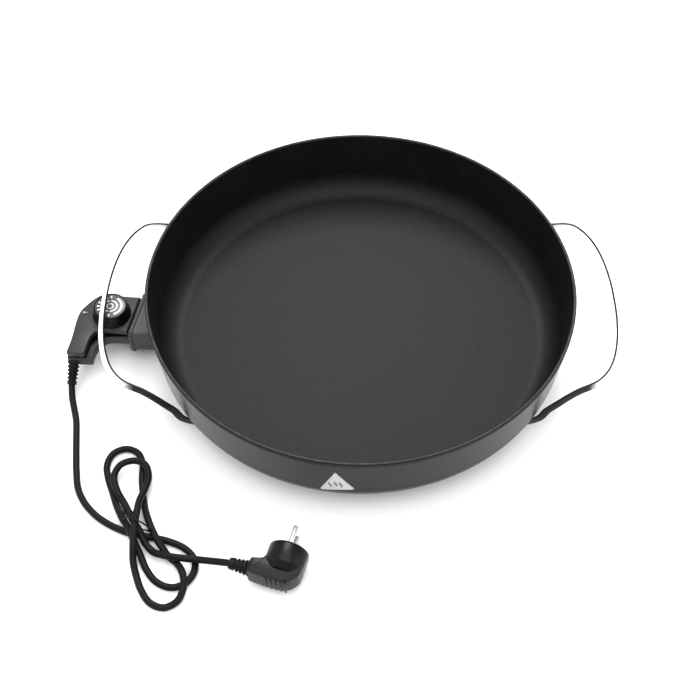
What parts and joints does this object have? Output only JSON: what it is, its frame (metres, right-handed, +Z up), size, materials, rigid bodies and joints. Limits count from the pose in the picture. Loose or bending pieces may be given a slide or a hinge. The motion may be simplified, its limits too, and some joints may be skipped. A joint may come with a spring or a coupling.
{
  "type": "electric griddle",
  "caption": "round low electric griddle pan with two bent strip handles, four feet and a plug-in thermostat with a dial, its lead tied in a loose hank to an angled plug",
  "frame": {"origin": "middle of the part's box in X and Y at the height of the feet, lead and plug left out", "axes": "+X runs from the thermostat through the pan to the other handle, +Y to the back, +Z up"},
  "size_m": [0.5255, 0.4901, 0.088],
  "materials": {
    "pan_coating": "cast aluminium under a dark non-stick coating, fine speckle, satin outside",
    "handle_chrome": "bright bent strip with brushed edges",
    "plain_steel": "plain steel small parts",
    "guard_paint": "satin grey paint",
    "shell_plastic": "fine grained dark grey moulding",
    "dark_gloss": "smooth black moulding",
    "foot_plastic": "black heat-proof moulding",
    "plug_plastic": "satin black moulding",
    "lead_rubber": "black flexible sheath",
    "badge_metal": "satin light plate",
    "mark_white": "white printed mark",
    "ceramic": "pale heat-proof insulation",
    "brass": "contact metal"
  },
  "bodies": {
    "pan": {"pan_shell": "pan_coating", "heating_element": "plain_steel", "terminal_pins": "plain_steel", "terminal_seals": "ceramic", "earth_blade": "plain_steel", "probe_sleeve": "plain_steel", "inlet_guard": "guard_paint", "guard_screws": "plain_steel", "handle_left": "handle_chrome", "handle_right": "handle_chrome", "handle_plates": "plain_steel", "foot_front_left": "foot_plastic", "foot_front_right": "foot_plastic", "foot_back_left": "foot_plastic", "foot_back_right": "foot_plastic", "foot_screws": "plain_steel", "wall_badge": "badge_metal"},
    "controller": {"controller_top": "shell_plastic", "seam_band": "dark_gloss", "controller_base": "shell_plastic", "pointer_mark": "mark_white", "probe_rod": "plain_steel", "contact_sockets": "brass", "contact_carrier": "ceramic", "earth_clip": "plain_steel", "thermostat_frame": "plain_steel", "bimetal_blade": "brass", "switch_contacts": "plain_steel", "shell_screws": "plain_steel", "cord_clamp": "foot_plastic", "inner_leads": "foot_plastic", "cord_boot": "lead_rubber", "cord": "lead_rubber", "cord_tie": "lead_rubber", "plug_body": "plug_plastic", "plug_boot": "lead_rubber", "plug_pins": "plain_steel", "plug_earth_clips": "brass"},
    "knob": {"knob": "dark_gloss", "dial_plate": "shell_plastic", "knob_spindle": "plain_steel", "thermostat_cam": "ceramic"}
  },
  "joints": [
    {"name": "probe_pull", "type": "slide", "parent": "pan", "child": "controller", "axis": [-1, 0, 0], "range_m": [0, 0.08]},
    {"name": "knob_turn", "type": "hinge", "parent": "controller", "child": "knob", "pos_m": [-0.22355, 0, 0.045], "axis": [0, 0, 1], "range_deg": [-280, 0]}
  ]
}
